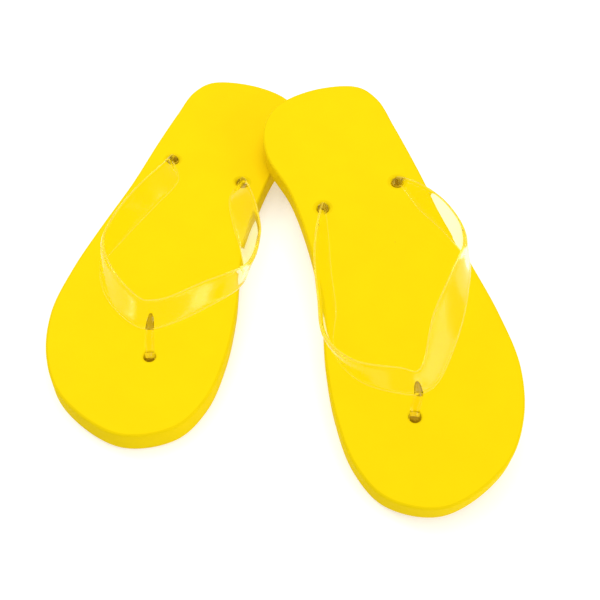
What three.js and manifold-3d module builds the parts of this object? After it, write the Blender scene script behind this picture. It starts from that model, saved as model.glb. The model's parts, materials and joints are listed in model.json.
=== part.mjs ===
// A pair of foam flip flops with clear moulded straps. The right shoe lies flat on the floor and
// the left one rests its heel on the right one's heel.
//
// Millimetres, +Z up, toes towards -Y, the wearer's left shoe towards +X. The origin is on the
// floor at the middle of the pair's footprint.
//
// Each shoe is built in its own axes: +x to the outer (little toe) side, +y from the heel to the
// toes, +z up from the floor side of the sole. A left shoe is the mirror image of a right one.

import * as THREE from 'three';
import { mergeVertices } from 'three/addons/utils/BufferGeometryUtils.js';
import Module from 'manifold-3d';

const wasm = await Module();
wasm.setup();

// ---- driving dimensions ----------------------------------------------------------------------

const SOLE_THICKNESS = 13;
const SOLE_EDGE_ROUND = 1.2;

// Heel and toe tips, and the sole's half widths between them: [y, outer side, inner side].
const HEEL_TIP = [2, 0];
const TOE_TIP = [-12, 270];
const SOLE_STATIONS = [
  [6, 28, 22.5],
  [20, 36.5, 34.5],
  [44, 39, 39],
  [76, 41, 33],
  [114, 42.5, 32],
  [152, 46, 35.5],
  [184, 48, 42.5],
  [214, 46.5, 46],
  [240, 37, 44.5],
  [259, 20.5, 35.5],
];

// The sole bends across the ball of the foot. A hairline cut there makes two solids of it.
const FLEX_Y = 187;
const FLEX_CUT = 0.3;

// Strap holes, [x, y], with a wide recess for the plug on the floor side.
const OUTER_HOLE = [27, 87];
const INNER_HOLE = [-18, 92.5];
const TOE_HOLE = [-10.5, 225.5];
const HOLE_RADIUS = 3.5;
const RECESS_RADIUS = 8.5;
const RECESS_DEPTH = 5;

const PEG_RADIUS = 3;
const SIDE_PEG_PROUD = 0.2;
const TOE_PEG_SUNK = 1;
const BUTTON_RADIUS = 7.8;
const BUTTON_THICKNESS = 3.2;
const BUTTON_CHAMFER = 0.6;
const BUTTON_LIFT = 1;

const STRAP_THICKNESS = 2.2;
const STRAP_EDGE_THICKNESS = 1.2;
const STRAP_EDGE_SHARE = 0.1;
const YOKE_GAP = 1.6;

// The toe post's centre line from the top of the sole, up out of its hole and then leaning back
// into the strap: [x, y, z, radius].
const POST_RINGS = [
  [...TOE_HOLE, -2, 2.5],
  [...TOE_HOLE, 0.5, 2.5],
  [-8.6, 219.4, 7, 2.4],
  [-6.9, 214.6, 11, 2.2],
  [-6.3, 212, 14, 1.1],
];

// How each soft strap arm lies, from its side hole to the toe post. Every row is one cross section:
// its lower edge [x, y, z] and its upper edge, with z measured from the top of the sole.
const STRAP_LIE = {
  right: {
    outer: [
      [[29, 90, 1.6], [27, 86, 6.5]],
      [[16, 107, 4], [26, 107, 13.5]],
      [[22, 131, 2.6], [30, 130, 17.5]],
      [[29, 157, 2], [33.5, 155, 18.5]],
      [[32, 182, 3.5], [31, 178, 20.5]],
      [[20, 203, 6], [16, 197, 21]],
      [[0, 216, 8.2], [-1.8, 207.2, 20]],
    ],
    inner: [
      [[-19, 96, 1.6], [-18, 91, 6.5]],
      [[-17, 115, 7], [-27, 110, 16]],
      [[-25, 135, 8.5], [-37, 130, 21.5]],
      [[-36, 155, 9], [-45, 152, 24.5]],
      [[-42.5, 175, 10], [-45, 175, 27]],
      [[-30, 198, 11.5], [-27, 190.5, 23.6]],
      [[-15, 213, 10.4], [-11.5, 204.4, 21.2]],
    ],
  },
  left: {
    outer: [
      [[28, 90, 1.6], [27, 86, 6.5]],
      [[30.5, 110, 2.5], [35.5, 107, 15]],
      [[38, 131, 3.5], [40.5, 128, 20.5]],
      [[42, 153, 6], [39.4, 150, 24]],
      [[34, 174, 9.5], [25.8, 168, 25]],
      [[20, 197, 11.5], [9.4, 187.6, 22.5]],
      [[2, 217, 9.5], [-3, 209, 18]],
    ],
    inner: [
      [[-19, 96, 1.6], [-18, 91, 6.5]],
      [[-21.5, 117, 2.5], [-26.5, 113, 15]],
      [[-26, 138, 3], [-34, 135, 18]],
      [[-30, 161, 3], [-39, 160, 18.5]],
      [[-37.5, 183, 3.5], [-42, 183, 20.5]],
      [[-31, 204, 7], [-33, 200, 22.5]],
      [[-16, 217, 10.5], [-12, 209, 20]],
    ],
  },
};

// Where the two shoes lie. Angles in degrees: yaw turns the toes towards +X, pitch lifts the heel
// and roll lifts the inner edge.
const RIGHT_HEEL_AT = [-71.3, 135, 0];
const LEFT_HEEL_AT = [-28.7, 113.9, 22.9];
const LEFT_YAW = 29;
const LEFT_PITCH = 3.8;
const LEFT_ROLL = -9.1;

// Facets.
const OUTLINE_STEPS = 4;
const EDGE_ROUND_STEPS = 2;
const HOLE_SIDES = 20;
const ARM_STEPS = 22;
const YOKE_STEPS = 4;
const POST_SIDES = 16;

// How far cutters run past what they cut, and how close two points are welded into one.
const CUT_OVERSHOOT = 1;
const HALF_SPACE = 400;
const WELD_DISTANCE = 1e-4;

// ---- materials -------------------------------------------------------------------------------

const foam = new THREE.MeshStandardMaterial({ color: 0xffe003, roughness: 0.75, metalness: 0 });
const clearVinyl = new THREE.MeshStandardMaterial({
  color: 0xfff2a0,
  roughness: 0.12,
  metalness: 0,
  transparent: true,
  opacity: 0.45,
});

// ---- solids: joining, cutting and lofting ----------------------------------------------------

function toSolid(geometry) {
  const bare = geometry.clone();
  bare.deleteAttribute('normal');
  bare.deleteAttribute('uv');
  const merged = mergeVertices(bare, WELD_DISTANCE);
  return new wasm.Manifold(new wasm.Mesh({
    numProp: 3,
    vertProperties: new Float32Array(merged.attributes.position.array),
    triVerts: new Uint32Array(merged.index.array),
  }));
}

function toGeometry(solid) {
  const mesh = solid.getMesh();
  const geometry = new THREE.BufferGeometry();
  geometry.setAttribute('position', new THREE.BufferAttribute(mesh.vertProperties, 3));
  geometry.setIndex(new THREE.BufferAttribute(mesh.triVerts, 1));
  geometry.computeVertexNormals();
  return geometry;
}

// A closed skin over rings of points. Every ring has the same number of points, counterclockwise
// seen from the far end of the loft.
function loft(rings) {
  const sides = rings[0].length;
  const positions = rings.flat().flatMap((p) => [p.x, p.y, p.z]);
  const index = [];
  for (let r = 0; r < rings.length - 1; r++) {
    for (let s = 0; s < sides; s++) {
      const a = r * sides + s;
      const b = r * sides + (s + 1) % sides;
      index.push(a, b, b + sides, a, b + sides, a + sides);
    }
  }
  const last = (rings.length - 1) * sides;
  for (let s = 1; s < sides - 1; s++) {
    index.push(0, s + 1, s);
    index.push(last, last + s, last + s + 1);
  }
  const geometry = new THREE.BufferGeometry();
  geometry.setAttribute('position', new THREE.Float32BufferAttribute(positions, 3));
  geometry.setIndex(index);
  return geometry;
}

function mirrored(geometry) {
  const copy = geometry.clone();
  copy.scale(-1, 1, 1);
  const index = copy.index.array;
  for (let i = 0; i < index.length; i += 3) {
    [index[i], index[i + 1]] = [index[i + 1], index[i]];
  }
  copy.computeVertexNormals();
  return copy;
}

// ---- sole ------------------------------------------------------------------------------------

function soleOutline() {
  const outer = SOLE_STATIONS.map(([y, x]) => [x, y]);
  const inner = SOLE_STATIONS.map(([y, , x]) => [-x, y]).reverse();
  const points = [HEEL_TIP, ...outer, TOE_TIP, ...inner].map(([x, y]) => new THREE.Vector3(x, y, 0));
  const curve = new THREE.CatmullRomCurve3(points, true, 'centripetal');
  const outline = curve.getPoints(points.length * OUTLINE_STEPS).slice(0, -1);
  return outline.map((p) => new THREE.Vector2(p.x, p.y));
}

function soleSlab() {
  const slab = new THREE.ExtrudeGeometry(new THREE.Shape(soleOutline()), {
    depth: SOLE_THICKNESS - 2 * SOLE_EDGE_ROUND,
    bevelThickness: SOLE_EDGE_ROUND,
    bevelSize: SOLE_EDGE_ROUND,
    bevelOffset: -SOLE_EDGE_ROUND,
    bevelSegments: EDGE_ROUND_STEPS,
    curveSegments: 1,
  });
  slab.translate(0, 0, SOLE_EDGE_ROUND);
  return toSolid(slab);
}

function uprightCylinder([x, y], radius, zLow, zHigh) {
  const cylinder = new THREE.CylinderGeometry(radius, radius, zHigh - zLow, HOLE_SIDES);
  cylinder.rotateX(Math.PI / 2);
  cylinder.translate(x, y, (zLow + zHigh) / 2);
  return toSolid(cylinder);
}

function boxBetween(low, high) {
  const size = high.map((value, axis) => value - low[axis]);
  const box = new THREE.BoxGeometry(...size);
  box.translate(...low.map((value, axis) => value + size[axis] / 2));
  return toSolid(box);
}

// The slab with its three strap holes and their recesses.
function drilledSole() {
  let sole = soleSlab();
  const below = -CUT_OVERSHOOT;
  const above = SOLE_THICKNESS + CUT_OVERSHOOT;
  for (const hole of [OUTER_HOLE, INNER_HOLE, TOE_HOLE]) {
    sole = sole.subtract(uprightCylinder(hole, HOLE_RADIUS, below, above));
    sole = sole.subtract(uprightCylinder(hole, RECESS_RADIUS, below, RECESS_DEPTH));
  }
  return sole;
}

function soleParts() {
  const sole = drilledSole();
  const reach = HALF_SPACE;
  const toeSide = boxBetween([-reach, FLEX_Y - FLEX_CUT / 2, -reach], [reach, reach, reach]);
  const heelSide = boxBetween([-reach, -reach, -reach], [reach, FLEX_Y + FLEX_CUT / 2, reach]);
  return {
    sole_heel_part: toGeometry(sole.subtract(toeSide)),
    sole_toe_part: toGeometry(sole.subtract(heelSide)),
  };
}

// ---- strap -----------------------------------------------------------------------------------

function edgeCurve(rows, edge) {
  const lift = new THREE.Vector3(0, 0, SOLE_THICKNESS);
  const points = rows.map((row) => new THREE.Vector3(...row[edge]).add(lift));
  return new THREE.CatmullRomCurve3(points, false, 'centripetal');
}

// One flat cross section with thinner, rounded edges, between the band's lower and upper edge.
function bandSection(low, high, run) {
  const across = high.clone().sub(low);
  const normal = run.clone().cross(across).normalize();
  const at = (share, half) => low.clone().addScaledVector(across, share).addScaledVector(normal, half);
  const full = STRAP_THICKNESS / 2;
  const thin = STRAP_EDGE_THICKNESS / 2;
  const nearLow = STRAP_EDGE_SHARE;
  const nearHigh = 1 - STRAP_EDGE_SHARE;
  return [
    at(0, thin), at(0, -thin), at(nearLow, -full), at(0.5, -full), at(nearHigh, -full),
    at(1, -thin), at(1, thin), at(nearHigh, full), at(0.5, full), at(nearLow, full),
  ];
}

function bandRings(rows, steps) {
  const lower = edgeCurve(rows, 0);
  const upper = edgeCurve(rows, 1);
  const rings = [];
  for (let i = 0; i <= steps; i++) {
    const t = i / steps;
    const run = lower.getTangent(t).add(upper.getTangent(t)).normalize();
    rings.push(bandSection(lower.getPoint(t), upper.getPoint(t), run));
  }
  return rings;
}

function strapArm(rows) {
  return toGeometry(toSolid(loft(bandRings(rows, ARM_STEPS))));
}

// The peg that fills a strap hole, on the round button that sits in the recess below it.
function plugProfile(pegTop) {
  const bottom = BUTTON_LIFT;
  const top = BUTTON_LIFT + BUTTON_THICKNESS;
  const flatRadius = BUTTON_RADIUS - BUTTON_CHAMFER;
  return [
    [0, bottom], [flatRadius, bottom], [BUTTON_RADIUS, bottom + BUTTON_CHAMFER],
    [BUTTON_RADIUS, top - BUTTON_CHAMFER], [flatRadius, top], [PEG_RADIUS, top],
    [PEG_RADIUS, pegTop], [0, pegTop],
  ].map(([r, z]) => new THREE.Vector2(r, z));
}

function plugSolid([x, y], pegTop) {
  const plug = new THREE.LatheGeometry(plugProfile(pegTop), HOLE_SIDES);
  plug.rotateX(Math.PI / 2);
  plug.translate(x, y, 0);
  return toSolid(plug);
}

function sidePlug(hole) {
  return toGeometry(plugSolid(hole, SOLE_THICKNESS + SIDE_PEG_PROUD));
}

function ringAround(center, radius) {
  const ring = [];
  for (let s = 0; s < POST_SIDES; s++) {
    const angle = (2 * Math.PI * s) / POST_SIDES;
    const x = center.x + radius * Math.cos(angle);
    const y = center.y + radius * Math.sin(angle);
    ring.push(new THREE.Vector3(x, y, center.z));
  }
  return ring;
}

// The toe post leans back out of its hole and carries the yoke that the two strap arms run into.
function toePost(lie) {
  const rings = POST_RINGS.map(([x, y, z, radius]) => (
    ringAround(new THREE.Vector3(x, y, SOLE_THICKNESS + z), radius)
  ));
  return toSolid(loft(rings))
    .add(plugSolid(TOE_HOLE, SOLE_THICKNESS - TOE_PEG_SUNK))
    .add(toSolid(loft(bandRings(yokeRows(lie), YOKE_STEPS))));
}

// The yoke carries the bands on from the end of one arm to the end of the other.
function yokeRows(lie) {
  const outer = lie.outer.at(-1);
  const inner = lie.inner.at(-1);
  const between = (edge, share) => outer[edge].map((v, i) => v + (inner[edge][i] - v) * share);
  const width = new THREE.Vector3(...outer[0]).distanceTo(new THREE.Vector3(...inner[0]));
  const inset = YOKE_GAP / width;
  return [inset, 0.5, 1 - inset].map((share) => [between(0, share), between(1, share)]);
}

// ---- one shoe --------------------------------------------------------------------------------

function shoeGeometries(side) {
  const lie = STRAP_LIE[side];
  return {
    ...soleParts(),
    strap_outer_arm: strapArm(lie.outer),
    strap_inner_arm: strapArm(lie.inner),
    strap_toe_post: toGeometry(toePost(lie)),
    outer_plug: sidePlug(OUTER_HOLE),
    inner_plug: sidePlug(INNER_HOLE),
  };
}

function shoe(side) {
  const toesForward = new THREE.Group();
  toesForward.rotation.z = Math.PI;
  for (const [name, geometry] of Object.entries(shoeGeometries(side))) {
    const material = name.startsWith('sole') ? foam : clearVinyl;
    const mesh = new THREE.Mesh(side === 'left' ? mirrored(geometry) : geometry, material);
    mesh.name = `${side}_${name}`;
    toesForward.add(mesh);
  }
  const placed = new THREE.Group();
  placed.add(toesForward);
  return placed;
}

// ---- the pair --------------------------------------------------------------------------------

const rightShoe = shoe('right');
rightShoe.position.set(...RIGHT_HEEL_AT);

const leftShoe = shoe('left');
leftShoe.position.set(...LEFT_HEEL_AT);
leftShoe.rotation.set(
  THREE.MathUtils.degToRad(LEFT_PITCH),
  THREE.MathUtils.degToRad(LEFT_ROLL),
  THREE.MathUtils.degToRad(LEFT_YAW),
  'ZXY',
);

const group = new THREE.Group();
group.add(rightShoe, leftShoe);

export default group;
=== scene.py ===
"""A pair of yellow foam flip flops with clear moulded straps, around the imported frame.

Each shoe is made in its own axes, in millimetres: +x to the outer (little toe) side, +y from the
heel to the toes, +z up from the floor side of the sole. shoe_matrix() carries them to the frame.
"""

import json
import math

import bpy
import numpy as np
from mathutils import Matrix, Vector
from mathutils.geometry import delaunay_2d_cdt


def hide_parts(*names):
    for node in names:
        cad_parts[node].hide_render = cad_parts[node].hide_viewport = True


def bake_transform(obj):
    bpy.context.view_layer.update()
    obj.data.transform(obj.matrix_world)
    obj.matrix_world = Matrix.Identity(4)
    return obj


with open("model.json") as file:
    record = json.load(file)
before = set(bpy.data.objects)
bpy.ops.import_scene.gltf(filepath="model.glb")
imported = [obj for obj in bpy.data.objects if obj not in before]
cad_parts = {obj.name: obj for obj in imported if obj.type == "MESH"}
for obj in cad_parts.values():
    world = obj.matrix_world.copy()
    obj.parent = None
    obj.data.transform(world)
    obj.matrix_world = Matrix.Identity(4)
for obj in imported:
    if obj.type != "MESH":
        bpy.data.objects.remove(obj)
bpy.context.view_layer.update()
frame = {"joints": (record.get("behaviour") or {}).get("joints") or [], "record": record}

MM = 0.001
UP = np.array([0, 0, 1.0])

# ---- the shoe's numbers, the same as the part's, in millimetres ---------------------------------

SOLE_THICKNESS = 13.0
SOLE_EDGE_ROUND = 1.2
HEEL_TIP = (2, 0)
TOE_TIP = (-12, 270)
SOLE_STATIONS = [
    (6, 28, 22.5),
    (20, 36.5, 34.5),
    (44, 39, 39),
    (76, 41, 33),
    (114, 42.5, 32),
    (152, 46, 35.5),
    (184, 48, 42.5),
    (214, 46.5, 46),
    (240, 37, 44.5),
    (259, 20.5, 35.5),
]
FLEX_Y = 187.0
OUTER_HOLE = (27, 87)
INNER_HOLE = (-18, 92.5)
TOE_HOLE = (-10.5, 225.5)
HOLE_RADIUS = 3.5
RECESS_RADIUS = 8.5
RECESS_DEPTH = 5.0
TOE_BORE_RADIUS = 3.05
SIDE_RIM_ROUND = 1.7
TOE_RIM_ROUND = 0.45
PEG_RADIUS = 3.0
BUTTON_RADIUS = 7.8
BUTTON_THICKNESS = 3.2
BUTTON_LIFT = 1.0
STRAP_THICKNESS = 2.2
STRAP_EDGE_THICKNESS = 1.2
# The button's faces, measured from the top of the sole as the strap is.
BUTTON_UNDER = BUTTON_LIFT - SOLE_THICKNESS
BUTTON_OVER = BUTTON_UNDER + BUTTON_THICKNESS

# Each strap, as cross sections [lower edge, upper edge] from the outer hole round the toe post to
# the inner hole. z is measured from the top of the sole.
STRAP_LIE = {
    "right": [
        [(25.9, 92.0, 1.4), (27.3, 87.0, 4.4)],
        [(16, 107, 4), (26, 107, 13.5)],
        [(22, 131, 2.6), (30, 130, 17.5)],
        [(29, 157, 2), (33.5, 155, 18.5)],
        [(32, 182, 3.5), (31, 178, 20.5)],
        [(20, 203, 6), (16, 197, 21)],
        [(0, 216.0, 8.2), (-1.8, 207.2, 20.0)],
        [(-7.5, 216.3, 9.0), (-6.2, 206.6, 20.6)],
        [(-15, 213, 10.4), (-11.5, 204.4, 21.2)],
        [(-30, 198, 11.5), (-27, 190.5, 23.6)],
        [(-42.5, 175, 10), (-45, 175, 27)],
        [(-36, 155, 9), (-45, 152, 24.5)],
        [(-25, 135, 8.5), (-37, 130, 21.5)],
        [(-17, 115, 7), (-27, 110, 16)],
        [(-18.0, 97.5, 1.4), (-18.6, 92.4, 4.4)],
    ],
    "left": [
        [(27.6, 92.0, 1.4), (27.4, 87.0, 4.4)],
        [(30.5, 110, 2.5), (35.5, 107, 15)],
        [(38, 131, 3.5), (40.5, 128, 20.5)],
        [(42, 153, 6), (39.4, 150, 24)],
        [(34, 174, 9.5), (25.8, 168, 25)],
        [(20, 197, 11.5), (9.4, 187.6, 22.5)],
        [(2, 217, 9.5), (-3, 209, 18)],
        [(-7, 219.5, 9.5), (-6.8, 211.2, 18.0)],
        [(-16, 217, 10.5), (-12, 209, 20)],
        [(-31, 204, 7), (-33, 200, 22.5)],
        [(-37.5, 183, 3.5), (-42, 183, 20.5)],
        [(-30, 161, 3), (-39, 160, 18.5)],
        [(-26, 138, 3), (-34, 135, 18)],
        [(-21.5, 117, 2.5), (-26.5, 113, 15)],
        [(-18.4, 97.5, 1.4), (-18.2, 92.4, 4.4)],
    ],
}

# The row over the toe post.
YOKE_ROW = 7

# The toe post's centre line out of its hole, [x, y, z, radius].
POST_FOOT = [
    (-10.5, 225.3, -3.6, 2.4),
    (-10.5, 225.0, -1, 2.3),
    (-10.4, 224.7, 0.6, 2.3),
    (-9.7, 222.7, 2.8, 2.3),
]
# Where it then runs up the back of the yoke, [share of the band's width, distance behind, radius].
POST_TOP = [
    (-0.02, 1.4, 2.1),
    (0.14, 1.1, 1.95),
    (0.34, 0.8, 1.7),
    (0.52, 0.5, 0.9),
]
POST_TIP = 0.3
# Under this height the post stands in its hole.
POST_FOOT_BELOW = -0.4

# How finely each curve is cut, and how far apart the points of a flat face stand.
OUTLINE_STEPS = 12
FILLET_STEPS = 4
WALL_STEPS = 4
RIM_STEPS = 5
HOLE_SIDES = 40
STRAP_STEPS = 12
POST_STEPS = 4
FILL_SPACING = 3.4
# The least distance from such a point to the face's edges, as a share of the spacing.
FILL_CLEARANCE = 0.6
# A narrow flat ring beside a rounded edge keeps the smooth shading off the flat face.
HOLDING_RING = 0.5
HOLE_HOLDING_RING = 0.4

# ---- looks --------------------------------------------------------------------------------------

# Foam tones, light then dark, of the moulded skin and of the cut wall. The wall's tones are darker:
# painted shade on the sole's sides and in its holes.
FOAM_SKIN_TONES = ((0.855, 0.615, 0.001), (0.845, 0.60, 0.001))
FOAM_WALL_SHADE_TONES = ((0.765, 0.562, 0.001), (0.75, 0.547, 0.001))
FOAM_SPECULAR = 0.03
SPECK_COLOUR = (0.38, 0.25, 0.01)
SPECK_STRENGTH = 0.35
SPECK_SCALE = 70
SPECK_RADIUS = (0.018, 0.035)
# A speck's cell has one random number, and only those over this range have a speck.
SPECK_CHOSEN = (0.86, 0.88)

VINYL_COAT = 0.26
POST_COAT = 0.1
VINYL_COAT_ROUGHNESS = 0.14
VINYL_SHADOW = (0.99, 0.985, 0.93)

FLOOR_TONES = ((0.70, 0.70, 0.70), (0.73, 0.73, 0.73))
FLOOR_GLOW = 0.38
FLOOR_REACH = 4.0
FLOOR_Z = -0.0002

SKY_STRENGTH = 0.62
SKY_MIRRORED = 0.05
# [name, place, size, watts]. All point at the origin.
SOFTBOXES = [
    ("overhead", (-0.2, 0.25, 1.4), (1.5, 1.5), 11.4),
    ("left", (-1.0, 0.3, 0.85), (0.45, 0.45), 4.2),
    ("right", (1.15, -0.1, 0.42), (0.8, 0.55), 3.9),
    ("front_right", (0.95, -0.7, 0.26), (0.48, 0.36), 2.3),
    ("front_left", (-0.95, -0.6, 0.14), (0.2, 0.16), 0.5),
]

# ---- camera -------------------------------------------------------------------------------------

CAMERA_AT = (0.03505, -0.27802, 0.31938)
CAMERA_AZIMUTH = math.radians(9.633)
CAMERA_ELEVATION = math.radians(53.217)
CAMERA_ROLL = math.radians(6.362)
CAMERA_LENS = 44.877
CAMERA_SHIFT = (0.02846, 0.04159)


def make_camera():
    a, e, c = CAMERA_AZIMUTH, CAMERA_ELEVATION, CAMERA_ROLL
    back = Vector((math.sin(a) * math.cos(e), -math.cos(a) * math.cos(e), math.sin(e)))
    level_x = Vector((math.cos(a), math.sin(a), 0))
    level_y = back.cross(level_x)
    x = math.cos(c) * level_x + math.sin(c) * level_y
    y = math.cos(c) * level_y - math.sin(c) * level_x
    data = bpy.data.cameras.new("camera")
    data.sensor_width = 36
    data.lens = CAMERA_LENS
    data.shift_x, data.shift_y = CAMERA_SHIFT
    data.clip_start = 0.01
    camera = bpy.data.objects.new("camera", data)
    axes = Matrix((x, y, back)).transposed().to_4x4()
    camera.matrix_world = Matrix.Translation(CAMERA_AT) @ axes
    bpy.context.scene.collection.objects.link(camera)
    bpy.context.scene.camera = camera


# ---- node helpers -------------------------------------------------------------------------------


def new_material(name):
    material = bpy.data.materials.new(name)
    material.use_nodes = True
    tree = material.node_tree
    shader = tree.nodes["Principled BSDF"]
    return material, tree, shader


def add(tree, kind, **values):
    """A node of this kind with these properties and input values."""
    node = tree.nodes.new(kind)
    for key, value in values.items():
        if hasattr(node, key):
            setattr(node, key, value)
        else:
            node.inputs[key.replace("_", " ")].default_value = value
    return node


def noise(tree, coords, scale, detail):
    node = add(tree, "ShaderNodeTexNoise", Scale=scale, Detail=detail)
    tree.links.new(coords, node.inputs["Vector"])
    return node.outputs["Fac"]


def remap(tree, value, source, target):
    """value carried from the source range to the target range."""
    node = add(tree, "ShaderNodeMapRange")
    ends = zip(("From Min", "From Max", "To Min", "To Max"), (*source, *target))
    for name, number in ends:
        node.inputs[name].default_value = number
    tree.links.new(value, node.inputs["Value"])
    return node.outputs["Result"]


def mix_color(tree, factor, a, b):
    """The colour a at factor 0 and b at factor 1, each a colour or a node's output."""
    node = tree.nodes.new("ShaderNodeMix")
    node.data_type = "RGBA"
    # A mix node has inputs of every type. Number 0 is the factor, 6 and 7 are the two colours.
    factor_in, a_in, b_in = node.inputs[0], node.inputs[6], node.inputs[7]
    tree.links.new(factor, factor_in)
    for socket, value in ((a_in, a), (b_in, b)):
        if isinstance(value, bpy.types.NodeSocket):
            tree.links.new(value, socket)
        else:
            socket.default_value = (*value, 1)
    return node.outputs[2]


def bump(tree, height, distance, strength, after=None):
    """A bumped normal, on top of the one from another bump where after is given."""
    node = add(tree, "ShaderNodeBump", Strength=strength, Distance=distance)
    tree.links.new(height, node.inputs["Height"])
    if after is not None:
        tree.links.new(after, node.inputs["Normal"])
    return node.outputs["Normal"]


# ---- materials ----------------------------------------------------------------------------------


def multiply(tree, value, factor):
    """value times factor, which is a number or a node's output."""
    node = add(tree, "ShaderNodeMath", operation="MULTIPLY")
    tree.links.new(value, node.inputs[0])
    if isinstance(factor, bpy.types.NodeSocket):
        tree.links.new(factor, node.inputs[1])
    else:
        node.inputs[1].default_value = factor
    return node.outputs[0]


def specks(tree, coords):
    """How much of a stray speck shows at each point."""
    cells = add(tree, "ShaderNodeTexVoronoi", Scale=SPECK_SCALE)
    tree.links.new(coords, cells.inputs["Vector"])
    speck = remap(tree, cells.outputs["Distance"], SPECK_RADIUS, (1, 0))
    random = tree.nodes.new("ShaderNodeSeparateColor")
    tree.links.new(cells.outputs["Color"], random.inputs["Color"])
    chosen = remap(tree, random.outputs["Red"], SPECK_CHOSEN, (0, 1))
    return multiply(tree, multiply(tree, speck, chosen), SPECK_STRENGTH)


def foam_material(name, tones, cell_scale, cell_depth, rough):
    """Closed-cell foam: a faint mottle, the small cells of its skin and a few stray specks."""
    material, tree, shader = new_material(name)
    coords = add(tree, "ShaderNodeTexCoord").outputs["Object"]
    light, dark = tones
    mottle = remap(tree, noise(tree, coords, scale=55, detail=4), (0.35, 0.65), (0, 1))
    grain = noise(tree, coords, cell_scale, detail=2)
    tone = mix_color(tree, mottle, dark, light)
    colour = mix_color(tree, specks(tree, coords), tone, SPECK_COLOUR)
    tree.links.new(colour, shader.inputs["Base Color"])
    roughness = remap(tree, grain, (0.3, 0.7), (rough - 0.08, rough + 0.08))
    tree.links.new(roughness, shader.inputs["Roughness"])
    waves = noise(tree, coords, scale=160, detail=3)
    skin = bump(tree, waves, distance=0.0004, strength=0.12)
    cells = bump(tree, grain, distance=cell_depth, strength=0.4, after=skin)
    tree.links.new(cells, shader.inputs["Normal"])
    shader.inputs["Specular IOR Level"].default_value = FOAM_SPECULAR
    return material


def vinyl_material(name, colour, clear, ior, painted_glow=0.0, coat=VINYL_COAT):
    """Clear soft vinyl: glossy, slightly wavy and faintly yellow. Lamps shine through it.

    clear is its transmission. Its emission is a painted glow, standing in for the light that
    reaches a buried part along the plastic.
    """
    material, tree, shader = new_material(name)
    coords = add(tree, "ShaderNodeTexCoord").outputs["Object"]
    shader.inputs["Base Color"].default_value = (*colour, 1)
    shader.inputs["Transmission Weight"].default_value = clear
    shader.inputs["IOR"].default_value = ior
    shader.inputs["Emission Color"].default_value = (*colour, 1)
    shader.inputs["Emission Strength"].default_value = painted_glow
    shader.inputs["Coat Weight"].default_value = coat
    shader.inputs["Coat IOR"].default_value = 1.5
    shader.inputs["Coat Roughness"].default_value = VINYL_COAT_ROUGHNESS
    haze = remap(tree, noise(tree, coords, scale=90, detail=4), (0.3, 0.7), (0.02, 0.07))
    tree.links.new(haze, shader.inputs["Roughness"])
    waves = noise(tree, coords, scale=60, detail=2)
    wavy = bump(tree, waves, distance=0.0006, strength=0.3)
    ripples = noise(tree, coords, scale=700, detail=2)
    fine = bump(tree, ripples, distance=0.00003, strength=0.3, after=wavy)
    tree.links.new(fine, shader.inputs["Normal"])
    through = add(tree, "ShaderNodeBsdfTransparent")
    through.inputs["Color"].default_value = (*VINYL_SHADOW, 1)
    path = add(tree, "ShaderNodeLightPath")
    either = add(tree, "ShaderNodeMath", operation="MAXIMUM")
    tree.links.new(path.outputs["Is Shadow Ray"], either.inputs[0])
    tree.links.new(path.outputs["Is Diffuse Ray"], either.inputs[1])
    mixed = add(tree, "ShaderNodeMixShader")
    tree.links.new(either.outputs[0], mixed.inputs[0])
    tree.links.new(shader.outputs[0], mixed.inputs[1])
    tree.links.new(through.outputs[0], mixed.inputs[2])
    tree.links.new(mixed.outputs[0], tree.nodes["Material Output"].inputs["Surface"])
    return material


def floor_material():
    """Plain white that glows faintly, like a light table."""
    material, tree, shader = new_material("floor_white")
    coords = add(tree, "ShaderNodeTexCoord").outputs["Object"]
    tone = mix_color(tree, noise(tree, coords, scale=3, detail=2), *FLOOR_TONES)
    tree.links.new(tone, shader.inputs["Base Color"])
    shader.inputs["Roughness"].default_value = 0.9
    shader.inputs["Specular IOR Level"].default_value = 0.0
    shader.inputs["Emission Color"].default_value = (1, 1, 1, 1)
    shader.inputs["Emission Strength"].default_value = FLOOR_GLOW
    return material


# ---- curves and rings ---------------------------------------------------------------------------


def centripetal(points, steps, closed):
    """Points along a centripetal Catmull-Rom curve through these points."""
    p = np.array(points, float)
    n = len(p)
    spans = n if closed else n - 1
    if closed:
        around = np.vstack([p[-1:], p, p[:2]])
    else:
        around = np.vstack([2 * p[:1] - p[1:2], p, 2 * p[-1:] - p[-2:-1]])
    out = []
    for i in range(spans):
        p0, p1, p2, p3 = around[i : i + 4]
        d0, d1, d2 = (
            max(np.linalg.norm(b - a), 1e-9) ** 0.5 for a, b in ((p0, p1), (p1, p2), (p2, p3))
        )
        m1 = ((p1 - p0) / d0 - (p2 - p0) / (d0 + d1) + (p2 - p1) / d1) * d1
        m2 = ((p2 - p1) / d1 - (p3 - p1) / (d1 + d2) + (p3 - p2) / d2) * d1
        for s in range(steps):
            t = s / steps
            out.append(
                (2 * t**3 - 3 * t**2 + 1) * p1
                + (t**3 - 2 * t**2 + t) * m1
                + (3 * t**2 - 2 * t**3) * p2
                + (t**3 - t**2) * m2
            )
    if not closed:
        out.append(p[-1])
    return np.array(out)


def sole_outline():
    outer = [(x, y) for y, x, _ in SOLE_STATIONS]
    inner = [(-x, y) for y, _, x in reversed(SOLE_STATIONS)]
    return centripetal([HEEL_TIP, *outer, TOE_TIP, *inner], OUTLINE_STEPS, True)


def inset(outline, distance):
    """The closed counterclockwise outline, moved inwards."""
    along = np.roll(outline, -1, 0) - np.roll(outline, 1, 0)
    along /= np.linalg.norm(along, axis=1)[:, None]
    inward = np.stack([-along[:, 1], along[:, 0]], 1)
    return outline + inward * distance


def circle(center, radius, sides=HOLE_SIDES):
    turn = np.arange(sides) * 2 * np.pi / sides
    return np.stack([center[0] + radius * np.cos(turn), center[1] + radius * np.sin(turn)], 1)


# ---- mesh making --------------------------------------------------------------------------------


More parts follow.
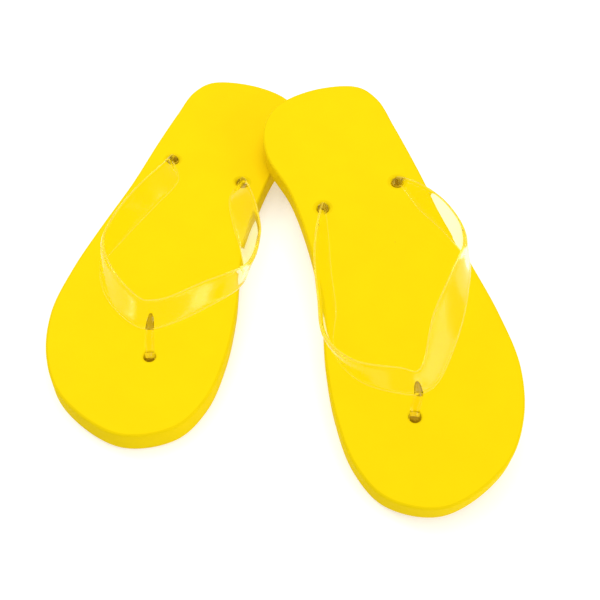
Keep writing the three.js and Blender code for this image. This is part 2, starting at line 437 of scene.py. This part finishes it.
class Skin:
    """Vertices and faces in a shoe's own millimetres."""

    def __init__(self):
        self.points = []
        self.faces = []
        self.kinds = []

    def ring(self, points):
        first = len(self.points)
        self.points.extend(tuple(map(float, p)) for p in points)
        return list(range(first, len(self.points)))

    def flat_ring(self, outline, z):
        return self.ring([(x, y, z) for x, y in outline])

    def face(self, corners, kind):
        self.faces.append(tuple(corners))
        self.kinds.append(kind)

    def bridge(self, low, high, kind=0):
        """Quads between two rings; counterclockwise rings, low below high, face outwards."""
        n = len(low)
        for i in range(n):
            j = (i + 1) % n
            self.face((low[i], low[j], high[j], high[i]), kind)

    def cap(self, ring, point, kind=0, flip=False):
        tip = self.ring([point])[0]
        n = len(ring)
        for i in range(n):
            a, b = ring[i], ring[(i + 1) % n]
            self.face((b, a, tip) if flip else (a, b, tip), kind)

    def fill(self, border, holes, z, up, kind):
        """A flat face inside border, around the holes, in even small triangles."""
        ids = [*border, *(i for hole in holes for i in hole)]
        flat = [Vector(self.points[i][:2]) for i in ids]
        outline = np.array([self.points[i][:2] for i in border])
        rounds = [np.array([self.points[i][:2] for i in hole]) for hole in holes]
        inner = inner_grid(outline, rounds)
        edges, start = [], 0
        for ring in [border, *holes]:
            edges += [(start + i, start + (i + 1) % len(ring)) for i in range(len(ring))]
            start += len(ring)
        verts = flat + [Vector(p) for p in inner]
        # Output 0 is every triangle of the hull. Those outside or in a hole are left out below.
        made, _, faces, origin, _, _ = delaunay_2d_cdt(verts, edges, [], 0, 1e-6)
        new = self.flat_ring(inner, z)
        ids = ids + new
        real = [ids[o[0]] for o in origin]
        for corners in faces:
            middle = np.mean([made[c] for c in corners], axis=0)
            if not inside(outline, middle) or in_any(rounds, middle):
                continue
            corners = [real[c] for c in corners]
            a, b, c = (np.array(self.points[i][:2]) for i in corners)
            turn = (b - a)[0] * (c - a)[1] - (b - a)[1] * (c - a)[0]
            if (turn > 0) != up:
                corners.reverse()
            self.face(corners, kind)

    def obj(self, name, matrix, materials):
        mesh = bpy.data.meshes.new(name)
        points = [matrix @ Vector(p) for p in self.points]
        mesh.from_pydata(points, [], self.faces)
        for material in materials:
            mesh.materials.append(material)
        mesh.polygons.foreach_set("material_index", self.kinds)
        mesh.polygons.foreach_set("use_smooth", [True] * len(self.faces))
        if matrix.determinant() < 0:
            mesh.flip_normals()
        mesh.update()
        made = bpy.data.objects.new(name, mesh)
        bpy.context.scene.collection.objects.link(made)
        return made


def inside(outline, point):
    """Whether the point is in the closed outline, by the edges that lie to one side of it."""
    x, y = point
    a, b = outline, np.roll(outline, -1, 0)
    crosses = (a[:, 1] > y) != (b[:, 1] > y)
    slope = (b[:, 0] - a[:, 0]) / np.where(crosses, b[:, 1] - a[:, 1], 1)
    return bool((crosses & (x < a[:, 0] + (y - a[:, 1]) * slope)).sum() % 2)


def inner_grid(outline, rounds):
    """Points in even staggered rows inside the outline, clear of it and of the round holes."""
    low, high = outline.min(0), outline.max(0)
    rise = FILL_SPACING * math.sqrt(3) / 2
    clear = FILL_SPACING * FILL_CLEARANCE
    rings = np.vstack([outline, *rounds])
    points = []
    for row in range(int((high[1] - low[1]) / rise) + 1):
        y = low[1] + row * rise
        for column in range(int((high[0] - low[0]) / FILL_SPACING) + 2):
            x = low[0] + (column + 0.5 * (row % 2)) * FILL_SPACING
            at = np.array([x, y])
            if not inside(outline, at) or np.linalg.norm(rings - at, axis=1).min() < clear:
                continue
            if in_any(rounds, at):
                continue
            points.append((x, y))
    return points


def in_any(rounds, point):
    """Whether the point is in one of these circles, each given by the points on it."""
    for ring in rounds:
        centre = ring.mean(0)
        if np.linalg.norm(centre - point) < np.linalg.norm(ring[0] - centre):
            return True
    return False


# ---- the sole -----------------------------------------------------------------------------------

# Material slots of a sole.
# The wall slot is the cut foam, with its coarser grain and a darker tone that is painted shade.
FOAM_SKIN, FOAM_WALL_SHADE = 0, 1

# Heights up a strap hole, as [how much wider than the recess, z], then [than the bore, z].
RECESS_PROFILE = [
    (0.9, 0),
    (0.4, 0),
    (0.1, 0.1),
    (0, 0.5),
    (0, 2.5),
    (0, RECESS_DEPTH - 0.3),
    (-0.3, RECESS_DEPTH),
]
BORE_PROFILE = [
    (0.5, RECESS_DEPTH),
    (0.1, RECESS_DEPTH + 0.1),
    (0, RECESS_DEPTH + 0.6),
    (0, 9),
]


def sole_skin():
    """A closed skin: the wall from the floor side up, the three holes, then both flat faces."""
    skin = Skin()
    outline = sole_outline()
    r = SOLE_EDGE_ROUND
    rings = [skin.flat_ring(inset(outline, r + HOLDING_RING), 0.0)]
    kinds = []
    for i in range(FILLET_STEPS + 1):
        a = math.pi / 2 * i / FILLET_STEPS
        rings.append(skin.flat_ring(inset(outline, r - r * math.sin(a)), r - r * math.cos(a)))
        kinds.append(FOAM_SKIN if i == 0 else FOAM_WALL_SHADE)
    for i in range(1, WALL_STEPS):
        z = r + (SOLE_THICKNESS - 2 * r) * i / WALL_STEPS
        rings.append(skin.flat_ring(outline, z))
        kinds.append(FOAM_WALL_SHADE)
    for i in range(FILLET_STEPS + 1):
        a = math.pi / 2 * i / FILLET_STEPS
        ring = inset(outline, r - r * math.cos(a))
        rings.append(skin.flat_ring(ring, SOLE_THICKNESS - r + r * math.sin(a)))
        kinds.append(FOAM_WALL_SHADE)
    rings.append(skin.flat_ring(inset(outline, r + HOLDING_RING), SOLE_THICKNESS))
    kinds.append(FOAM_SKIN)
    for low, high, kind in zip(rings, rings[1:], kinds):
        skin.bridge(low, high, kind)
    floor_holes, top_holes = [], []
    bores = (
        (OUTER_HOLE, HOLE_RADIUS, SIDE_RIM_ROUND),
        (INNER_HOLE, HOLE_RADIUS, SIDE_RIM_ROUND),
        (TOE_HOLE, TOE_BORE_RADIUS, TOE_RIM_ROUND),
    )
    for hole, bore, rim in bores:
        made = [skin.flat_ring(circle(hole, radius), z) for radius, z in hole_profile(bore, rim)]
        for low, high in zip(made, made[1:]):
            # The holes take the wall's darker tone, painted shade.
            skin.bridge(high, low, FOAM_WALL_SHADE)
        floor_holes.append(made[0])
        top_holes.append(made[-1])
    skin.fill(rings[0], floor_holes, 0.0, False, FOAM_SKIN)
    skin.fill(rings[-1], top_holes, SOLE_THICKNESS, True, FOAM_SKIN)
    return skin


def hole_profile(bore, rim):
    """(radius, z) up a strap hole: the recess on the floor side, its roof, the bore and its rim."""
    rows = [(RECESS_RADIUS + wider, z) for wider, z in RECESS_PROFILE]
    rows += [(bore + wider, z) for wider, z in BORE_PROFILE]
    for i in range(RIM_STEPS + 1):
        a = math.pi / 2 * i / RIM_STEPS
        z = SOLE_THICKNESS - rim * (1 - math.sin(a))
        rows.append((bore + rim * (1 - math.cos(a)), z))
    rows.append((bore + rim + HOLE_HOLDING_RING, SOLE_THICKNESS))
    return rows


# ---- the strap ----------------------------------------------------------------------------------

# Material slots of a strap, then the foot tag for rings in a hole, which is not a slot of its own:
# it paints shade in front and a glow behind.
VINYL_CLEAR, VINYL_EDGE_TINT_AND_REFLECTION, VINYL_DEEP_REFLECTION, VINYL_POST, VINYL_PAINTED_SHADE, VINYL_PAINTED_GLOW = range(6)
VINYL_FOOT_SHADE_AND_GLOW = 6

# How many faces each side of a band's edge count as its edge. These are painted a deeper yellow:
# partly the vinyl's own tint over a longer path, partly a painted reflection of the foam's yellow.
EDGE_FACES = 2
# A peg rises in the bore to this height, and is painted dark under it: painted shade in the bore.
PEG_TOP = -1.2
PEG_MIDDLE = -4
# The round peg goes on this far over its last ring, and turns flat over this many rows.
PEG_RISE = 1.5
NECK_ROWS = 1.6
# Rows are counted from the strap's first one. Before this one the strap is still in its hole.
DEEP_ROWS = -0.2
# Where the band has its full thickness, in from its edge: a share of its width up to a limit.
BEVEL_LIMIT = 1.9
BEVEL_SHARE = 0.27


def band_profile(width):
    """Half of the band's cross section, from its lower edge to its upper edge: (along, out)."""
    thin, full = STRAP_EDGE_THICKNESS / 2, STRAP_THICKNESS / 2
    bevel = min(BEVEL_LIMIT, BEVEL_SHARE * width)
    near = [(0, 0), (0.18, 0.42), (thin, thin + 0.02)]
    near += [(bevel - 0.45, full - 0.15), (bevel, full - 0.03), (bevel + 0.5, full)]
    far = [(width - a, o) for a, o in reversed(near)]
    return [*near, (width * 0.36, full), (width * 0.5, full), (width * 0.64, full), *far]


def section(low, high, run, half, round_share):
    """One ring of the strap, between a round peg at round_share 1 and the flat band at 0."""
    across = high - low
    width = np.linalg.norm(across)
    across = across / width
    normal = np.cross(run, across)
    normal /= np.linalg.norm(normal)
    flat = band_profile(width)
    last = len(flat) - 1
    ring = []
    for side in (1, -1):
        order = range(last) if side == 1 else range(last, 0, -1)
        for i in order:
            a = math.pi * i / last
            turned = (width / 2 * (1 - math.cos(a)), half * math.sin(a))
            along = flat[i][0] * (1 - round_share) + turned[0] * round_share
            out = flat[i][1] * (1 - round_share) + turned[1] * round_share
            ring.append(low + across * along + normal * out * side)
    return ring


def smooth_share(value):
    """0 below 0 and 1 above 1, with an even curve between."""
    value = min(max(value, 0.0), 1.0)
    return value * value * (3 - 2 * value)


def plug_profile():
    """(radius, z) up a plug, from the middle of its button to the top of its peg."""
    edge, cut = BUTTON_RADIUS - 0.6, BUTTON_RADIUS - 0.15
    return [
        (0.8, BUTTON_UNDER),
        (4, BUTTON_UNDER),
        (edge, BUTTON_UNDER),
        (cut, BUTTON_UNDER + 0.15),
        (BUTTON_RADIUS, BUTTON_UNDER + 0.6),
        (BUTTON_RADIUS, BUTTON_OVER - 0.6),
        (cut, BUTTON_OVER - 0.15),
        (edge, BUTTON_OVER),
        (PEG_RADIUS + 0.8, BUTTON_OVER),
        (PEG_RADIUS + 0.15, BUTTON_OVER + 0.25),
        (PEG_RADIUS, BUTTON_OVER + 0.8),
        (PEG_RADIUS, PEG_MIDDLE),
        (PEG_RADIUS, PEG_TOP),
    ]


def plug_rings(center, toward):
    """A plug's rings from its button up: [the two ends of a diameter along toward, radius]."""
    toward = np.array([*toward, 0.0])
    toward /= np.linalg.norm(toward)
    middle = np.array([*center, 0.0])
    rings = []
    for radius, z in plug_profile():
        at = middle + UP * z
        rings.append((at + toward * radius, at - toward * radius, radius))
    return rings


def plug_kind(low):
    """Painted shade for the buried middle of a peg, by the height of the lower ring of a face."""
    return VINYL_PAINTED_SHADE if BUTTON_OVER + 0.1 < low[2] < PEG_TOP - 0.1 else VINYL_DEEP_REFLECTION


def button_middle(hole):
    return np.array([*hole, BUTTON_UNDER])


def strap_rings(side):
    """Rings from the middle of the outer button, over the yoke, to the middle of the inner one."""
    rows = [[np.array(p, float) for p in row] for row in STRAP_LIE[side]]

    def ahead(row, hole):
        middle = (row[0] + row[1]) / 2
        return middle[:2] - np.array(hole, float)

    outer = plug_rings(OUTER_HOLE, ahead(rows[1], OUTER_HOLE))
    inner = plug_rings(INNER_HOLE, ahead(rows[-2], INNER_HOLE))
    rings = [(section(low, high, UP, r, 1.0), plug_kind(low)) for low, high, r in outer]
    pegs = []
    for low, high, _ in (outer[-1], inner[-1]):
        pegs.append([low + UP * PEG_RISE, high + UP * PEG_RISE])
    chain = [outer[-1][:2], pegs[0], *rows, pegs[1], inner[-1][:2]]
    lows = centripetal([row[0] for row in chain], STRAP_STEPS, False)
    highs = centripetal([row[1] for row in chain], STRAP_STEPS, False)
    runs = np.gradient((lows + highs) / 2, axis=0)
    for i in range(1, len(lows) - 1):
        at = i / STRAP_STEPS
        from_peg = min(at, len(chain) - 1 - at) - 1.0
        share = 1 - smooth_share(from_peg / NECK_ROWS)
        half = STRAP_THICKNESS / 2 + (PEG_RADIUS - STRAP_THICKNESS / 2) * share
        run = runs[i] / np.linalg.norm(runs[i])
        # Still in its hole, the strap has the foam's yellow painted on: a painted reflection.
        if from_peg < DEEP_ROWS:
            kind = VINYL_DEEP_REFLECTION
        else:
            kind = VINYL_EDGE_TINT_AND_REFLECTION if share < 0.5 else VINYL_CLEAR
        rings.append((section(lows[i], highs[i], run, half, share), kind))
    for (low, high, r), under in zip(reversed(inner), [*reversed(inner[:-1]), inner[0]]):
        rings.append((section(low, high, -UP, r, 1.0), plug_kind(under[0])))
    return rings, [button_middle(OUTER_HOLE), button_middle(INNER_HOLE)]


def tube_skin(rings, ends):
    """A closed skin over tagged rings, with a cap to each of the two end points.

    Where a ring is tagged as an edge, only its two edges are. A foot ring is painted dark in front,
    painted shade, and has a painted glow behind.
    """
    skin = Skin()
    lift = np.array([0, 0, SOLE_THICKNESS])
    ids = [skin.ring([p + lift for p in ring]) for ring, _ in rings]
    count = len(ids[0])
    for low, high, (_, kind) in zip(ids, ids[1:], rings):
        for i in range(count):
            j = (i + 1) % count
            from_edge = min((i + 0.5) % (count / 2), -(i + 0.5) % (count / 2))
            here = kind
            if kind == VINYL_EDGE_TINT_AND_REFLECTION and from_edge > EDGE_FACES:
                here = VINYL_CLEAR
            # A foot ring: painted shade in front, a painted glow behind.
            if kind == VINYL_FOOT_SHADE_AND_GLOW:
                here = VINYL_PAINTED_SHADE if i >= count / 2 else VINYL_PAINTED_GLOW
            skin.face((high[i], high[j], low[j], low[i]), here)
    skin.cap(ids[0], ends[0] + lift, rings[0][1])
    skin.cap(ids[-1], ends[1] + lift, rings[-1][1], flip=True)
    return skin


def yoke_back(side):
    """The lower and upper edge of the yoke over the post, and the way out of its back."""
    low, high = (np.array(p, float) for p in STRAP_LIE[side][YOKE_ROW])
    before = np.mean(STRAP_LIE[side][YOKE_ROW - 1], axis=0)
    after = np.mean(STRAP_LIE[side][YOKE_ROW + 1], axis=0)
    behind = np.cross(after - before, high - low)
    behind /= np.linalg.norm(behind)
    return low, high, behind if behind[1] <= 0 else -behind


def post_kind(index, height):
    # The post up the back of the yoke is painted dark: painted shade where it runs into the yoke.
    if index >= POST_STEPS * len(POST_FOOT):
        return VINYL_PAINTED_SHADE
    return VINYL_POST if height > POST_FOOT_BELOW else VINYL_FOOT_SHADE_AND_GLOW


def post_rings(side):
    """Rings of the toe post, from the middle of its button to its end on the back of the yoke."""
    # The post's own foot takes the place of the top two rings of the plug.
    plug = plug_rings(TOE_HOLE, (1.0, 0.0))[:-2]
    rings = [(section(low, high, UP, r, 1.0), VINYL_DEEP_REFLECTION) for low, high, r in plug]
    low, high, behind = yoke_back(side)
    rows = [*POST_FOOT]
    for share, back, radius in POST_TOP:
        rows.append((*(low + (high - low) * share + behind * back), radius))
    centres = centripetal([row[:3] for row in rows], POST_STEPS, False)
    radii = centripetal([row[3:] for row in rows], POST_STEPS, False)[:, 0]
    runs = np.gradient(centres, axis=0)
    for i, (centre, radius, run) in enumerate(zip(centres, radii, runs)):
        run = run / np.linalg.norm(run)
        across = np.array([1.0, 0, 0]) - run * run[0]
        across *= radius / np.linalg.norm(across)
        ring = section(centre + across, centre - across, run, radius, 1.0)
        rings.append((ring, post_kind(i, centre[2])))
    return rings, [button_middle(TOE_HOLE), centres[-1] + runs[-1] * POST_TIP]


def union(first, second):
    """first with second joined to it as one closed skin."""
    change = first.modifiers.new("join", "BOOLEAN")
    change.operation = "UNION"
    change.object = second
    change.solver = "EXACT"
    depsgraph = bpy.context.evaluated_depsgraph_get()
    joined = bpy.data.meshes.new_from_object(first.evaluated_get(depsgraph))
    first.modifiers.clear()
    first.data = joined
    bpy.data.objects.remove(second)
    joined.polygons.foreach_set("use_smooth", [True] * len(joined.polygons))
    return first


# ---- one shoe in its place ----------------------------------------------------------------------


def shoe_matrix(side):
    """From a shoe's own millimetres to the frame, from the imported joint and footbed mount."""
    joint = next(j for j in frame["joints"] if j["name"] == f"{side}_sole_flex")
    mounts = frame["record"]["mounts"]
    up = Vector(next(m for m in mounts if m["name"] == f"{side}_footbed")["axis"]).normalized()
    axis = Vector(joint["axis"]).normalized()
    outer = axis if side == "right" else -axis
    toes = (up.cross(outer) if side == "right" else outer.cross(up)).normalized()
    outer = toes.cross(up) if side == "right" else up.cross(toes)
    turn = Matrix((outer, toes, up)).transposed().to_4x4()
    pivot = Vector((0, FLEX_Y, SOLE_THICKNESS)) * MM
    to_pivot = Matrix.Translation(-pivot) @ Matrix.Scale(MM, 4)
    return Matrix.Translation(joint["pos_m"]) @ turn @ to_pivot


def make_shoe(side, foam, vinyl):
    """One sole and one strap, placed by the sole's joint."""
    place = shoe_matrix(side)

    sole = sole_skin().obj(f"{side}_sole", place, foam)
    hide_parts(f"{side}_sole_heel_part", f"{side}_sole_toe_part")
    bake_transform(sole)

    strap = tube_skin(*strap_rings(side)).obj(f"{side}_strap", place, vinyl)
    post = tube_skin(*post_rings(side)).obj(f"{side}_post", place, vinyl)
    strap = union(strap, post)
    parts = ("strap_outer_arm", "strap_inner_arm", "strap_toe_post", "outer_plug", "inner_plug")
    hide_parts(*(f"{side}_{part}" for part in parts))
    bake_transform(strap)


# ---- floor and light ----------------------------------------------------------------------------


def make_floor():
    mesh = bpy.data.meshes.new("floor")
    r, z = FLOOR_REACH, FLOOR_Z
    mesh.from_pydata([(-r, -r, z), (r, -r, z), (r, r, z), (-r, r, z)], [], [(0, 1, 2, 3)])
    mesh.materials.append(floor_material())
    floor = bpy.data.objects.new("floor", mesh)
    bpy.context.scene.collection.objects.link(floor)


def softbox(name, at, size, watts):
    data = bpy.data.lights.new(name, "AREA")
    data.shape = "RECTANGLE"
    data.size, data.size_y = size
    data.energy = watts
    lamp = bpy.data.objects.new(name, data)
    turn = (-Vector(at)).to_track_quat("-Z", "Y").to_matrix().to_4x4()
    lamp.matrix_world = Matrix.Translation(at) @ turn
    bpy.context.scene.collection.objects.link(lamp)


def make_light():
    """A white room that the straps hardly mirror, and the softboxes that they do."""
    world = bpy.data.worlds.new("studio")
    world.use_nodes = True
    tree = world.node_tree
    sky = tree.nodes["Background"]
    sky.inputs["Color"].default_value = (1, 1, 1, 1)
    path = add(tree, "ShaderNodeLightPath")
    mirrored = add(tree, "ShaderNodeMath", operation="SUBTRACT", use_clamp=True)
    tree.links.new(path.outputs["Is Glossy Ray"], mirrored.inputs[0])
    tree.links.new(path.outputs["Is Transmission Ray"], mirrored.inputs[1])
    level = remap(tree, mirrored.outputs[0], (0, 1), (SKY_STRENGTH, SKY_MIRRORED))
    tree.links.new(level, sky.inputs["Strength"])
    bpy.context.scene.world = world
    for box in SOFTBOXES:
        softbox(*box)
    bpy.context.scene.view_settings.view_transform = "Standard"


# ---- the scene ----------------------------------------------------------------------------------

make_camera()
make_floor()
make_light()
foam_slots = [
    foam_material("foam_skin", FOAM_SKIN_TONES, cell_scale=1500, cell_depth=0.00006, rough=0.6),
    # The wall's foam, darker as painted shade.
    foam_material("foam_wall_painted_shade", FOAM_WALL_SHADE_TONES, cell_scale=900, cell_depth=0.00012, rough=0.75),
]
# In the order of VINYL_CLEAR to VINYL_PAINTED_GLOW.
vinyl_slots = [
    vinyl_material("clear_vinyl", (1.0, 0.985, 0.58), clear=1.0, ior=1.1),
    # The band's edges: partly the vinyl's own tint, partly a painted reflection of the yellow foam.
    vinyl_material("clear_vinyl_edge_tint_and_reflection", (1.0, 0.80, 0.10), clear=0.65, ior=1.1),
    # In the holes and on the buttons: the foam's yellow painted on, a painted reflection.
    vinyl_material("clear_vinyl_deep_painted_reflection", (0.86, 0.66, 0.04), clear=0.4, ior=1.3),
    vinyl_material("clear_vinyl_post", (1.0, 0.93, 0.25), clear=1.0, ior=1.16, coat=POST_COAT),
    # Dark olive: painted shade in the bores, on the post behind the yoke and on the front of the
    # post's foot.
    vinyl_material("clear_vinyl_painted_shade", (0.45, 0.31, 0.01), clear=0.45, ior=1.3),
    # A painted glow on the back of the post's foot.
    vinyl_material(
        "clear_vinyl_peg_painted_glow", (0.95, 0.74, 0.02), clear=0.4, ior=1.3, painted_glow=0.44, coat=POST_COAT
    ),
]
for shoe_side in ("right", "left"):
    make_shoe(shoe_side, foam_slots, vinyl_slots)
